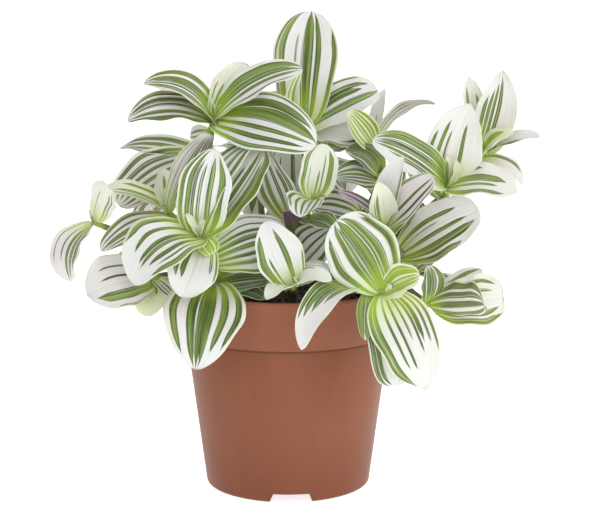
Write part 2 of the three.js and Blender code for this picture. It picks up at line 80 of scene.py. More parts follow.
shoot("high_left", 2.4, [[-20, -4, 98], [-24, -4, 116], [-38, -6, 145], [-45, -8, 167], [-42, -8, 184],
                         [-39, -8, 203]], [
    leaf([-75, -18, 219], [-3, -5, 8], 24, 9, 46, "-95:-70 -64:-38 -32:-6 0:36 66:74:80"),
    leaf([-83, -27, 201], [-2, -7, 7], 24, 9, 38, "-100:-80 -68:-42 -36:-22 -5:25 40:97", at=0.95,
         tone=-0.15),
    leaf([15, -32, 189], [1, -8, 5], 35, 9, 14, "88:97 58:82:98 6:52 -22:-6 -60:-42:98 -92:-76", at=0.97,
         tone=-0.1, point=0.55),
    leaf([8, -18, 227], [-3, -6, 8], 25, 7, 28, "44:86:108 8:38 -22:2 -74:-58:100", point=0.55),
    leaf([-21, 2, 228], [1, -8, 1], 24, 1, 35, "72:80:60 40:52:60 -14:2:60", tone=0.35, point=0.5),
    leaf([-52, 2, 190], [-6, -6, 2], 9, 2, 40, "-40:-10 30:60", at=0.9),
    leaf([-93, 22, 149], [-3, 8, 4], 36, 8, 12, "-97:-88 -74:-58 -44:-26 -12:4 18:30 44:62 76:90", at=0.74,
         point=0.5),
    leaf([-92, 26, 181], [0, -5, 8], 19, 4, 25, "-80:-50 -30:0 20:50 70:95", at=0.74),
    leaf([-60, 34, 178], [-1, 4, 8], 26, 7, 18, at=0.62),
], young=[
    leaf([-34, -17, 194], [4, -7, 4], 9, 1.5, 35, "-90:92", tone=0.1, point=0.7),
    leaf([-40, -16, 212], [2, -8, 1], 4, 0.5, 110, "-40:40:70", tone=0.8),
])
shoot("inner_left", 2.2, [[-30, 8, 98], [-33, 7, 114], [-50, -2, 134], [-64, -15, 153]], [
    leaf([-40, -28, 194], [-6, 8, 2], 20, 2, 30,
         "-92:-86 -70:-63 -47:-41 -32:-24 -15:-3 6:20 28:40 50:62 70:88", tone=-0.1, point=0.5),
    leaf([-66, -13, 174], [1, -8, 0], 13, 1, 40, "-80:-60:70 -12:20:90", tone=0.4, point=0.5),
    leaf([-99, -20, 163], [0, -4, 8], 17, 5, 40, "-75:-55:75 -25:0:85 15:45:90 60:85:80", at=0.97, tone=0.5),
    leaf([-96, -43, 135], [-2, -7, 6], 19, 7, 24, "-96:-70 -50:-36 -20:14 30:44 62:84", at=0.88, tone=-0.1,
         point=0.5),
])
shoot("far_left", 2.1, [[-40, 2, 98], [-43, 1, 112], [-70, -8, 130], [-92, -18, 142], [-103, -22, 147]], [
    leaf([-113, -36, 118], [-6, -6, 5], 25, 8, 28, "-80:-74:85 -40:-32:80 -12:2 14:34 46:74:90", sweep=-1.5,
         tone=-0.2, point=0.5),
    leaf([-92, -36, 167], [6, 6, 3], 18, 2, 20, "-30:-22:80 40:52:92 66:74", sweep=-3, tone=0.2, point=0.55),
], young=[
    leaf([-104, -25, 154], [2, -8, 2], 4, 0.5, 120, "-30:20:60", tone=0.6),
])
shoot("front_left", 2.5, [[-22, -26, 98], [-26, -29, 112], [-39, -38, 117], [-41, -46, 130],
                          [-45, -52, 145]], [
    leaf([-36, -50, 189], [0, -8, 3], 28, 2, 16, "78:95 50:68 32:43:95 12:25:90 -33:-12:98 -74:-48:99",
         sweep=2),
    leaf([-13, -32, 187], [-4, -7, 4], 30, 3, 20,
         "-97:-58 -50:-40:95 -31:-24 -14:4 16:26:85 40:56:90 72:86:80", at=0.97, sweep=-2.5, tone=0.15,
         point=0.6),
    leaf([-13, -20, 190], [-4, -4, 8], 24, 12, 15, "-80:-55 -35:-5 20:40 60:85", at=0.97),
    leaf([-78, -72, 124], [-3, -7, 6], 37, 14, 16,
         "-98:-76:80 -52:-38:85 -12:0:92 4:20:92 28:44:85 56:64:80 72:96:88", at=0.97, point=0.55),
    leaf([-53, -64, 115], [1, -8, 4], 27, 5, 20, "-70:-50:75 -40:-20:75 60:72:60 84:97:70", at=0.93),
    leaf([-53, -50, 157], [4, -6, 4], 9, 3, 60, white=0.85, tone=0.9),
    leaf([2, -30, 140], [2, -8, 6], 33, 6, 14, "-97:-80 -66:-46 -34:-20 -8:8 18:34 44:54 66:72 86:92",
         at=0.75, point=0.5),
    leaf([-46, -75, 80], [0, -8, 5], 41, 12, 10, "-97:-92:80 -87:-68:95 -43:-20 -17:6 9:27 38:58:92 76:92:88",
         at=0.5),
    leaf([-66, -18, 136], [-3, -3, 8], 24, 5, 18, at=0.7, white=0.35, tone=-0.3),
    leaf([-10, -43, 110], [0, -4, 8], 16, 3, 15, "-94:-66 -60:-32 -27:6 11:46 50:90", at=0.42, tone=-0.15),
    leaf([-8, -33, 119], [1, -5, 7], 20, 3, 15, "-96:-70 -66:-36 -32:2 6:40 44:92", at=0.47, tone=-0.15),
], young=[
    leaf([-51, -58, 157], [3, -8, 0], 6, 1, 100, "-12:12:45", tone=0.5, point=0.3),
    leaf([-42, -57, 154], [-3, -8, 0], 5, 0.5, 110, "20:50:40", tone=0.5, point=0.3),
    leaf([-38, -57, 136], [3, -8, 3], 12, 1.5, 30, "-90:-40 -34:8 14:50 56:92", tone=0.8, point=0.4),
])
shoot("low_left", 2.1, [[-38, -14, 98], [-40, -16, 113], [-52, -28, 119], [-64, -35, 121],
                        [-72, -38, 118]], [
    leaf([-102, -58, 115], [-2, -8, 5], 33, 6, 14, "-64:-57:88 -24:-15:85 28:66:95 84:98:80", tone=-0.05,
         point=0.5),
    leaf([-72, -54, 103], [1, -8, 3], 18, 3, 25, "-70:-50:50 30:50:50", at=0.97, tone=0.75, point=0.5),
    leaf([-56, -52, 110], [2, -6, 5], 10, 2, 30, at=0.9, white=0.6),
])
shoot("front_middle", 2.3, [[2, -30, 98], [3, -34, 110], [3, -44, 115], [3, -50, 118]], [
    leaf([-11, -52, 152], [1, -8, 3], 25, 4, 22, "60:92:88 38:48:60 -40:-17:92 -98:-84:55", sweep=1,
         tone=-0.1),
    leaf([-10, -70, 115], [-3, -6, 8], 13, 3, 30, "-60:-45:50 30:50:60", at=0.95, tone=0.3),
    leaf([24, -38, 126], [-3, -6, 8], 16, 2, 35, "-8:0:40", at=0.97),
    leaf([23, -60, 123], [1, -6, 8], 15, 6, 30, "60:72:70 84:92", at=0.93, tone=0.2),
])
shoot("middle", 2.3, [[4, -12, 98], [3, -13, 114], [6, -20, 138], [14, -25, 162]], [
    leaf([19, -26, 189], [1, -8, 1], 21, 1, 20, "66:88 40:46:70 -8:2:60 -33:-25:95 -72:-45:95", tone=0.28,
         point=0.58),
    leaf([7, -50, 154], [-1, -6, 5], 23, 3, 50, "-86:-70:92 -50:-36 -14:-2 16:28 46:60 78:92", tone=0.1,
         point=0.5),
    leaf([25, -42, 146], [1, -6, 8], 16, 3, 25, "-95:-10 0:90", at=0.8, tone=-0.1),
    leaf([-2, -26, 153], [3, -8, 2], 12, 1, 40, "-99:99", at=0.7, tone=-1.6),
    leaf([24, -34, 146], [1, -7, 5], 25, 4, 18, "-80:-60 -36:-22 0:12 40:50 74:88", at=0.42, tone=-0.1),
])
shoot("inner_middle", 2.2, [[-8, -4, 98], [-7, -4, 115], [-2, -8, 132], [2, -10, 148]], [
    leaf([-13, -14, 184], [-4, -7, 3], 22, 2, 22, "-88:-70 -58:-38:80 -20:0 22:48 60:84", tone=-0.1),
    leaf([1, -5, 189], [-3, -8, 1], 18, 1, 25, "-44:-16:96 54:62:90", point=0.45),
    leaf([-30, -19, 111], [-1, -5, 8], 24, 4, 15, "-94:-64 -56:-30 -22:10 18:50 58:92", at=0.45, tone=-0.5),
])
shoot("high_middle", 2.3, [[-2, 18, 98], [-2, 18, 116], [4, 20, 150], [9, 22, 198]], [
    leaf([13, 36, 255], [0, -9, 2], 35, 9, 12, "64:95 28:34:90 -22:14 -46:-28 -98:-77:88", sweep=1.5,
         point=0.52),
    leaf([49, 20, 213], [0, -7, 7], 27, 5, 22, "88:99:97 50:70:99 16:43:88 -35:4:108", at=0.95, point=0.42),
    leaf([8, 2, 226], [3, -8, 0], 9, 1, 50, "-50:-20 20:50", sweep=8, tone=0.8),
    leaf([-22, 44, 204], [-3, 1, 8], 26, 8, 18, at=0.95),
    leaf([-18, 34, 158], [-1, -4, 8], 24, 5, 18, at=0.72, white=0.4, tone=-0.2),
    leaf([38, 30, 170], [2, -2, 8], 22, 5, 18, at=0.75, white=0.4),
])
shoot("high_right", 2.2, [[22, 14, 98], [23, 14, 116], [40, 16, 142], [50, 13, 166], [46, 12, 186]], [
    leaf([32, -6, 204], [-1, -8, 4], 16, 3, 30, "-92:-72 -60:-44 -34:-20 -8:6 16:30 42:56 68:86", tone=0.8,
         point=0.5),
    leaf([15, 16, 188], [0, -6, 8], 22, 5, 18, "78:99:90", at=0.97, tone=0.05),
    leaf([22, 10, 180], [1, 4, 8], 18, 2, 20, "-90:-60 -30:10 30:50 70:90", at=0.95, tone=-0.2),
    leaf([31, 0, 182], [-1, -8, 3], 14, 2, 25, "-98:62 74:96", at=0.76, sweep=-5, tone=-0.5),
    leaf([79, 4, 207], [-3, 5, 7], 13, 8.5, 22, "66:99:60 10:22:90 -40:-28:80 -76:-66:80", tone=-0.4,
         point=0.5),
    leaf([53, 26, 213], [-1, -8, 0], 8, 0, 35, "-10:5:60", sweep=2, tone=0.05),
    leaf([25, -8, 169], [-1, -7, 6], 20, 3, 18, "-92:-66 -52:-34 -22:-4 8:24 38:56 70:92", at=0.72,
         tone=-0.1),
    leaf([12, -4, 152], [-1, -8, 4], 26, 3, 18, "-88:-76 -60:-50 -36:-22 -6:6 20:34 50:60 76:88", at=0.5,
         tone=-0.2),
])
shoot("far_right", 2.2, [[38, 16, 98], [40, 16, 114], [72, 18, 144], [96, 12, 166], [107, 10, 181]], [
    leaf([116, 16, 224], [-1, -9, 1], 23, 2, 20, "-16:4:100 12:26:92 34:48:82 56:74:72 -30:-22:30", sweep=-2,
         tone=0.1, point=0.8),
    leaf([98, 20, 220], [3, -8, 0], 15, 0, 30, "34:66:92 -60:-24:80", tone=0.25, point=0.6),
    leaf([121, 0, 192], [0, -6, 8], 14, 3, 50, "20:70:80 -60:-40:60", tone=0.8),
    leaf([135, 0, 190], [1, -4, 8], 13, 3, 30, "-85:-25:75", at=0.97, point=0.5),
    leaf([127, 6, 163], [4, -6, 4], 13, 6, 50, "-92:-70:80 60:85:85", at=0.9, tone=-0.2),
    leaf([112, 42, 168], [2, 3, 8], 22, 6, 18, at=0.7),
])
shoot("right", 2.3, [[34, -6, 98], [36, -7, 113], [59, -12, 127], [80, -12, 148], [85, -12, 167]], [
    leaf([97, -4, 208], [0, -9, 2], 31, 2, 16, "76:88:66 45:58:80 20:30:70 -30:-16:82", sweep=2, tone=0.12,
         point=0.85),
    leaf([44, -30, 191], [1, -8, 6], 25, 6, 20,
         "-97:-80 -76:-52 -48:-30 -27:-8 -4:14 20:32:88 40:50:75 58:66:60", at=0.97, point=0.55),
    leaf([120, -30, 164], [1, -6, 8], 28, 6, 18, "66:86:50 10:46:86 -22:-4:80 -84:-52:90", at=0.95, tone=0.1,
         point=0.65),
    leaf([88, -20, 180], [5, -5, 0], 9, 1, 70, "20:95:90", tone=0.7),
    leaf([100, -28, 155], [0, -9, 5], 30, 4, 12, "84:99:45 42:58:86 22:28:68 -14:2:92 -64:-32:97 -96:-70:75",
         at=0.5, point=0.45),
    leaf([70, -2, 156], [3, -6, 3], 12, 2, 30, "-90:-60 -40:-10 10:40 60:90", at=0.6, tone=-0.2),
    leaf([64, 20, 176], [-2, 1, 8], 20, 4, 20, "-80:-50 -20:20 50:80", at=0.85, tone=-0.2),
], young=[
    leaf([84, -17, 181], [2, -8, 2], 8, 1, 60, "10:99:97", sweep=-0.6, tone=0.5, point=0.5),
])
shoot("inner_right", 2.1, [[30, -22, 98], [31, -22, 112], [46, -26, 130], [52, -28, 148]], [
    leaf([26, -42, 166], [-1, -5, 6], 9, 3, 35, "60:92:97 -24:14 -96:-60", tone=-1.3),
    leaf([47, -47, 172], [0, -8, 2], 16, 1, 30, "22:44:80 56:64:70", tone=0.5, point=0.8),
    leaf([60, -41, 184], [-3, -8, 2], 15, 2, 30, "-92:-74:97 2:8:60", sweep=3, point=0.7),
    leaf([75, -44, 174], [-2, -8, 4], 18, 4, 25, "76:97 -12:5 -64:-48 -94:-84", tone=-0.5, point=0.5),
    leaf([66, -6, 158], [-3, -7, 3], 16, 3, 20, "-95:-10 0:90", at=0.8, tone=-0.3),
])
shoot("front_right", 2.4, [[27, -36, 98], [29, -38, 111], [35, -46, 116], [44, -52, 117], [51, -55, 115]], [
    leaf([25, -50, 152], [-1, -9, 2], 37, 2, 14,
         "92:96:80 62:84:95 16:43 -20:13 -54:-23 -78:-69:98 -97:-83:96", sweep=-2, tone=0.1, point=0.5),
    leaf([67, -68, 127], [-1, -7, 5], 19, 3, 35, "-56:-34 -26:0 6:24 32:86", tone=0.85, point=0.5),
    leaf([71, -70, 69], [2, -9, 4], 35, 9, 14,
         "-96:-62:97 -42:-32:84 -14:-4:90 10:18:62 30:38:78 46:58:62 68:76:72 85:93:80", sweep=-2, tone=0.05,
         point=0.74),
    leaf([58, -62, 69], [-1, -9, 3], 25, 6, 14, "-94:-74 -68:-48 -4:8 28:34", at=0.9, point=0.3),
    leaf([7, -78, 91], [-4, -7, 5], 20, 15, 22, "-94:-72:85 -66:-32:80 -26:8:72 16:44:60", at=0.55),
    leaf([40, -66, 93], [-2, -9, 4], 10, 4, 25, "-98:-20 -12:98", at=0.7, tone=0.3),
], young=[
    leaf([54, -62, 119], [-2, 3, 8], 8, 0.5, 150, "-20:10:40", tone=0.5, point=0.12),
])
shoot("low_right", 2.1, [[42, -10, 98], [45, -11, 111], [58, -18, 114.5], [68, -23, 108], [76, -26, 102]], [
    leaf([102, -44, 107], [0, 8, 3], 30, -2, 80, "-97:-66:120 -56:-34:120 -22:4:120 20:44:120 60:92:120",
         tone=0.12, point=0.3),
    leaf([115, -16, 106], [2, -8, 2], 28, 2, 20, "60:74:97 28:40:92 -60:-40:97 -98:-70:97", at=0.98, tone=0.2,
         point=0.35),
    leaf([104, -12, 120], [-3, -7, 4], 13, 2, 30, "20:60"),
    leaf([73, -40, 127], [3, -7, 0], 15, 2, 40, "-97:-52 -44:-8 -2:38 46:92", at=0.92, sweep=-1, tone=-0.2,
         point=0.5),
], young=[])
shoot("back_left", 2.2, [[-26, 20, 98], [-28, 21, 114], [-45, 32, 134], [-56, 40, 150]], [
    leaf([-88, 46, 152], [-2, 1, 8], 26, 6, 20),
    leaf([-62, 80, 158], [-1, 5, 8], 29, 8, 18, at=0.97),
    leaf([-34, 44, 176], [-1, -3, 8], 22, 4, 20),
    leaf([-86, 64, 128], [-3, 5, 7], 31, 9, 14, at=0.9),
    leaf([-54, 28, 172], [5, -5, 1], 16, 2, 35),
])
shoot("back_middle", 2.3, [[-10, 36, 98], [-11, 37, 114], [-15, 46, 142], [-17, 54, 166]], [
    leaf([-46, 68, 176], [-3, 2, 8], 26, 6, 18),
    leaf([-14, 96, 160], [0, 5, 8], 31, 9, 16, at=0.97),
    leaf([12, 68, 182], [2, 1, 8], 24, 6, 20),
    leaf([-30, 44, 190], [5, -4, 2], 18, 2, 30),
    leaf([-22, 86, 132], [-1, 7, 6], 29, 9, 16, at=0.85),
])
shoot("back_high", 2.2, [[14, 34, 98], [15, 35, 115], [21, 42, 150], [24, 46, 178]], [
    leaf([26, 84, 180], [0, 4, 8], 29, 8, 18),
    leaf([54, 60, 184], [3, 1, 8], 25, 7, 20, at=0.97),
    leaf([4, 58, 198], [-4, 4, 6], 20, 4, 28),
    leaf([34, 80, 146], [1, 7, 5], 30, 8, 16, at=0.75),
    leaf([30, 34, 198], [-2, 7, 2], 14, 2, 40),
])
shoot("back_right", 2.2, [[36, 28, 98], [38, 29, 113], [50, 38, 132], [58, 44, 148]], [
    leaf([92, 44, 148], [3, 1, 8], 27, 7, 18),
    leaf([76, 80, 146], [2, 5, 8], 30, 9, 16, at=0.97),
    leaf([51, 76, 158], [-2, 4, 8], 23, 6, 22),
    leaf([66, 32, 174], [-4, 6, 3], 16, 2, 35),
    leaf([86, 64, 118], [4, 5, 6], 31, 9, 14, at=0.85),
])
shoot("back_low", 2.2, [[0, 46, 98], [0, 48, 112], [-2, 57, 119], [-6, 68, 116]], [
    leaf([-12, 98, 88], [0, 8, 5], 32, 8, 12),
    leaf([28, 86, 116], [3, 5, 8], 26, 8, 18, at=0.97),
    leaf([-38, 86, 118], [-3, 5, 8], 28, 8, 18, at=0.97),
    leaf([-8, 76, 142], [0, 8, 2], 20, 2, 30),
])
shoot("side_right", 2.1, [[46, 8, 98], [48, 8, 111], [58, 13, 114], [67, 18, 112]], [
    leaf([96, 6, 100], [3, -1, 8], 23, 4, 18),
    leaf([88, 44, 98], [5, 4, 7], 26, 6, 16, at=0.97),
    leaf([96, 24, 138], [2, -4, 6], 19, 3, 28),
    leaf([63, 44, 116], [0, 6, 7], 18, 3, 25, at=0.8),
])
shoot("side_left", 2.1, [[-46, 16, 98], [-48, 16, 112], [-60, 20, 120], [-70, 24, 124]], [
    leaf([-93, 16, 112], [-4, -1, 8], 25, 7, 18),
    leaf([-86, 50, 106], [-5, 4, 7], 29, 9, 16, at=0.97),
    leaf([-76, 24, 150], [-5, -4, 3], 19, 2, 28),
    leaf([-54, 46, 122], [0, 6, 7], 20, 4, 25, at=0.8),
])


# ---- mesh code
class Shells:
    """Closed shells that are gathered into one mesh, with what the materials read."""

    def __init__(self):
        self.points = []
        self.faces = []
        self.slots = []
        self.vectors = {"blade": [], "marks": []}
        self.count = 0

    def add(self, points, groups, slots=0, **vectors):
        """points are in millimetres, and each group of faces counts from the first of them.
        slots is one material slot for all groups, or one for each."""
        points = np.asarray(points, float)
        self.points.append(points * MM)
        for label, values in self.vectors.items():
            values.append(vectors.get(label, np.zeros((len(points), 3))))
        for group, slot in zip(groups, np.broadcast_to(slots, len(groups))):
            self.faces.extend((np.asarray(group) + self.count).tolist())
            self.slots.append(np.full(len(group), slot, np.int32))
        self.count += len(points)

    def build(self, name, materials, smooth=True):
        mesh = bpy.data.meshes.new(name)
        mesh.from_pydata(np.concatenate(self.points).tolist(), [], self.faces)
        for material in materials:
            mesh.materials.append(material)
        mesh.polygons.foreach_set("material_index", np.concatenate(self.slots))
        mesh.polygons.foreach_set("use_smooth", np.full(len(self.faces), smooth))
        for label, values in self.vectors.items():
            values = np.concatenate(values)
            if np.any(values):
                attribute = mesh.attributes.new(label, "FLOAT_VECTOR", "POINT")
                attribute.data.foreach_set("vector", values.ravel())
        mesh.update()
        piece = bpy.data.objects.new(name, mesh)
        bpy.context.scene.collection.objects.link(piece)
        return piece


def solid(name, points, groups, materials=(), smooth=True):
    """An object of one closed shell."""
    shells = Shells()
    shells.add(points, groups)
    return shells.build(name, materials, smooth)


def unit(vectors):
    return vectors / np.linalg.norm(vectors, axis=-1, keepdims=True)


def smooth_step(low, high, values):
    share = np.clip((values - low) / (high - low), 0, 1)
    return share * share * (3 - 2 * share)


def around(sides):
    """The angles of evenly spaced points on a circle."""
    return np.linspace(0, 2 * math.pi, sides, endpoint=False)


def circle(radius, height, angle):
    """Points on a level circle round the upright axis."""
    return np.stack([radius * np.cos(angle), radius * np.sin(angle), np.full(len(angle), height)], axis=1)


def slab(top, bottom):
    """A closed sheet between two grids of points, shaped rows x columns x 3."""
    rows, columns = top.shape[:2]
    count = rows * columns
    index = np.arange(count).reshape(rows, columns)
    first = index[:-1, :-1].ravel()
    quads = np.stack([first, first + 1, first + columns + 1, first + columns], axis=1)
    near = np.concatenate([index[:, 0], index[-1, 1:], index[-2::-1, -1], index[0, -2:0:-1]])
    far = np.roll(near, -1)
    edge = np.stack([far, near, near + count, far + count], axis=1)
    points = np.concatenate([top.reshape(-1, 3), bottom.reshape(-1, 3)])
    return points, quads[:, ::-1], quads + count, edge


def ring_quads(rings, sides):
    """Quads between closed rings of points, with the rings' normals looking outwards."""
    index = np.arange((rings - 1) * sides).reshape(-1, sides)
    first = index.ravel()
    beside = np.roll(index, -1, axis=1).ravel()
    return np.stack([first, beside, beside + sides, first + sides], axis=1)


def tube(rings):
    """A closed tube through rings of points, shaped rings x sides x 3."""
    count, sides = rings.shape[:2]
    points = np.concatenate([rings.reshape(-1, 3), [rings[0].mean(0), rings[-1].mean(0)]])
    here = np.arange(sides)
    after = np.roll(here, -1)
    start = np.stack([after, here, np.full(sides, count * sides)], axis=1)
    last = (count - 1) * sides
    end = np.stack([here + last, after + last, np.full(sides, count * sides + 1)], axis=1)
    return points, [ring_quads(count, sides), start, end]


def lathe(profile, sides):
    """A closed turned body, by radii and heights from its base outwards and back inside."""
    angle = around(sides)
    return tube(np.array([circle(radius, height, angle) for radius, height in profile]))


# ---- materials
class Value:
    """What a node of a material gives. Sums and products of it make new nodes."""

    def __init__(self, material, socket):
        self.material = material
        self.socket = socket

    def __add__(self, other):
        return self.material.math("ADD", self, other)

    def __sub__(self, other):
        return self.material.math("SUBTRACT", self, other)

    def __rsub__(self, other):
        return self.material.math("SUBTRACT", other, self)

    def __mul__(self, other):
        return self.material.math("MULTIPLY", self, other)

    def __abs__(self):
        return self.material.math("ABSOLUTE", self)


class Material:
    """A node material, written as sums of values and numbers."""

    def __init__(self, name):
        self.material = bpy.data.materials.new(name)
        self.material.use_nodes = True
        self.tree = self.material.node_tree
        self.tree.nodes.clear()

    def node(self, kind, inputs=None, **settings):
        node = self.tree.nodes.new(kind)
        for key, setting in settings.items():
            setattr(node, key, setting)
        for key, value in (inputs or {}).items():
            if isinstance(value, Value):
                self.tree.links.new(value.socket, node.inputs[key])
            else:
                node.inputs[key].default_value = value
        return node

    def value(self, kind, output, inputs=None, **settings):
        """Makes a node and gives one of its outputs."""
        return Value(self, self.node(kind, inputs, **settings).outputs[output])

    def math(self, operation, a, b=0.0, clamp=False):
        return self.value("ShaderNodeMath", 0, {0: a, 1: b}, operation=operation, use_clamp=clamp)

    def step(self, value, low, high, start=0.0, end=1.0):
        """A smooth step from start to end as value goes from low to high."""
        inputs = {"Value": value, "From Min": low, "From Max": high, "To Min": start, "To Max": end}
        return self.value("ShaderNodeMapRange", "Result", inputs, interpolation_type="SMOOTHSTEP")

    def mix(self, share, a, b):
        """Colour a, turning to colour b by share."""
        # The node's colours are its inputs 6 and 7 and its output 2.
        return self.value("ShaderNodeMix", 2, {0: share, 6: a, 7: b}, data_type="RGBA")

    def coat(self, colour, *coats):
        """A colour with others laid over it: each coat is (share, (red, green, blue))."""
        for share, over in coats:
            colour = self.mix(share, colour, (*over, 1.0))
        return colour

    def vector(self, x, y, z):
        return self.value("ShaderNodeCombineXYZ", 0, {"X": x, "Y": y, "Z": z})

    def split(self, vector):
        return [self.value("ShaderNodeSeparateXYZ", axis, {0: vector}) for axis in "XYZ"]

    def attribute(self, name):
        """The three numbers of a mesh attribute."""
        return self.split(self.value("ShaderNodeAttribute", "Vector", attribute_name=name))

    def place(self, upright=1.0):
        """The place on the object, with heights scaled by upright."""
        place = self.value("ShaderNodeTexCoord", "Object")
        return self.value("ShaderNodeMapping", 0, {"Vector": place, "Scale": (1.0, 1.0, upright)})

    def noise(self, where, scale, detail=2.0, roughness=0.5):
        inputs = {"Vector": where, "Scale": scale, "Detail": detail, "Roughness": roughness}
        return self.value("ShaderNodeTexNoise", "Fac", inputs)

    def ramp(self, value, *stops):
        """Colours by value: stops are (place, (red, green, blue))."""
        node = self.node("ShaderNodeValToRGB", {"Fac": value})
        elements = node.color_ramp.elements
        while len(elements) < len(stops):
            elements.new(0.5)
        for element, (place, colour) in zip(elements, stops):
            element.position = place
            element.color = (*colour, 1.0)
        return Value(self, node.outputs["Color"])

    def bump(self, height, strength, distance, **below):
        inputs = {"Height": height, "Strength": strength, "Distance": distance, **below}
        return self.value("ShaderNodeBump", "Normal", inputs)

    def finish(self, colour, roughness, normal, **plain):
        """Ends the material with its surface."""
        inputs = {"Base Color": colour, "Roughness": roughness, "Normal": normal}
        inputs.update({key.replace("_", " "): value for key, value in plain.items()})
        shader = self.value("ShaderNodeBsdfPrincipled", 0, inputs)
        self.node("ShaderNodeOutputMaterial", {"Surface": shader})
        return self.material


def grained(name, scale, dark, light, rough, bump, detail=3.0, grit=0.5, **plain):
    """A material whose colour, roughness and bumps all follow one noise."""
    m = Material(name)
    grain = m.noise(m.place(), scale, detail, grit)
    colour = m.ramp(grain, (0.3, dark), (0.7, light))
    return m.finish(colour, m.step(grain, 0.2, 0.8, *rough), m.bump(grain, *bump), **plain)


GREENS = ((0.42, (0.040, 0.078, 0.008)), (0.5, (0.108, 0.188, 0.024)), (0.59, (0.235, 0.350, 0.080)))
UNDER_GREENS = ((0.38, (0.080, 0.110, 0.040)), (0.5, (0.140, 0.185, 0.075)), (0.64, (0.23, 0.29, 0.13)))
WHITES = ((0.3, (0.60, 0.61, 0.57)), (0.5, (0.73, 0.73, 0.71)), (0.7, (0.81, 0.81, 0.79)))
UNDER_WHITES = ((0.3, (0.57, 0.57, 0.51)), (0.5, (0.70, 0.69, 0.64)), (0.7, (0.80, 0.80, 0.75)))


def leaf_material(name, greens, whites, young_share, gloss):
    """Striped blade. blade holds the place across and along the leaf and the leaf's own
    number, and marks holds how far inside a green stripe a point is, its youth, and its
    painted shade and purple."""
    m = Material(name)
    across, along, number = m.attribute("blade")
    green, youth, shade = m.attribute("marks")
    apart = number * 37.0
    broad_place = m.vector(across + apart, along * 0.12, apart)
    fine_place = m.vector(across + apart, along * 0.05, apart)
    broad = m.noise(broad_place, 5.0)
    fine = m.noise(fine_place, 26.0, 4.0, 0.85)
    veins = m.noise(fine_place, 60.0, 1.0)
    cells = m.noise(m.vector(across, along * 2.5, apart), 45.0, 2.0, 0.7)

    # The edge of a stripe is a little uneven, and thin cream lines run inside the green.
    depth = green + (fine - 0.5) * 0.07
    place = m.math("FRACT", across * 5.2 + (broad * 1.1 + number * 9.0))
    line = m.step(abs(place - 0.5), 0.035, 0.085, 1.0, 0.0)
    line = line * m.step(m.noise(broad_place, 3.1, 0.0), 0.42, 0.52)
    inside = m.step(depth, -0.012, 0.014) * (1.0 - line * 0.72)

    # Leaves are yellow-green at their base and while young. A negative tone paints shade:
    # the greens darken and the whites turn a mauve grey that is partly the leaf's own tint.
    # Past 1.1 it adds the leaf's purple.
    near_base = m.step(along, 0.04, 0.40, 1.0, 0.0)
    mauve = m.math("MULTIPLY", shade, 0.7, clamp=True)
    purple = m.step(shade, 1.1, 1.6)
    hue = broad * 0.30 + fine * 0.50 + veins * 0.20
    colour_green = m.ramp(hue + m.step(depth, 0.01, 0.06, -0.09, 0.02), *greens)
    colour_green = m.coat(colour_green, (youth * young_share, (0.37, 0.54, 0.05)),
                          (near_base * 0.85, (0.35, 0.54, 0.02)), (mauve, (0.075, 0.062, 0.040)),
                          (purple, (0.12, 0.055, 0.10)))
    # Thin grey-green streaks lie in the white.
    streak = m.step(m.noise(fine_place, 15.0, 2.0, 0.6), 0.60, 0.68)
    colour_white = m.coat(m.ramp(fine * 0.6 + cells * 0.4, *whites), (youth * 0.75, (0.80, 0.86, 0.50)),
                          (near_base * 0.65, (0.66, 0.77, 0.25)), (streak * 0.26, (0.42, 0.50, 0.28)),
                          (mauve, (0.42, 0.32, 0.38)), (purple, (0.40, 0.24, 0.42)))
    margin = m.step(abs(across), 0.925, 0.965)
    colour = m.coat(m.mix(inside, colour_white, colour_green), (margin * 0.8, (0.74, 0.79, 0.58)))
    normal = m.bump(veins * 0.8 + cells * 0.35, 0.35, 0.0004)
    roughness = m.step(cells, 0.2, 0.8, gloss, gloss + 0.16)
    return m.finish(colour, roughness, normal, Subsurface_Weight=0.12, Subsurface_Scale=0.002)


def stem_material():
    m = Material("stem")
    along = m.attribute("blade")[1]
    fibres = m.noise(m.place(0.18), 1400.0, 3.0, 0.6)
    patches = m.noise(m.place(), 120.0, 3.0)
    brown = m.ramp(fibres, (0.3, (0.055, 0.040, 0.026)), (0.7, (0.130, 0.100, 0.062)))
    green = m.ramp(fibres, (0.3, (0.100, 0.130, 0.040)), (0.7, (0.200, 0.240, 0.080)))
    colour = m.mix(m.step(along + (patches - 0.5) * 0.9, 0.35, 0.95), brown, green)
    colour = m.coat(colour, (m.step(patches, 0.55, 0.70, 0.0, 0.6), (0.12, 0.05, 0.075)),
                    (m.step(along, 0.80, 0.90), (0.30, 0.43, 0.07)))
    return m.finish(colour, m.step(fibres, 0.2, 0.8, 0.45, 0.7), m.bump(fibres, 0.5, 0.0005))


def sheath_material():
    m = Material("leaf_sheath")
    across, along, number = m.attribute("blade")
    ribs = m.noise(m.vector(across * 9.0, along, number), 8.0)
    purple = m.math("MULTIPLY", m.step(m.noise(m.place(), 160.0), 0.42, 0.60), number, clamp=True)
    colour = m.ramp(ribs, (0.3, (0.26, 0.30, 0.12)), (0.7, (0.52, 0.55, 0.34)))
    colour = m.coat(colour, (purple * 0.85, (0.17, 0.075, 0.125)))
    return m.finish(colour, m.step(ribs, 0.2, 0.8, 0.4, 0.6), m.bump(ribs, 0.4, 0.0004),
                    Subsurface_Weight=0.1, Subsurface_Scale=0.002)


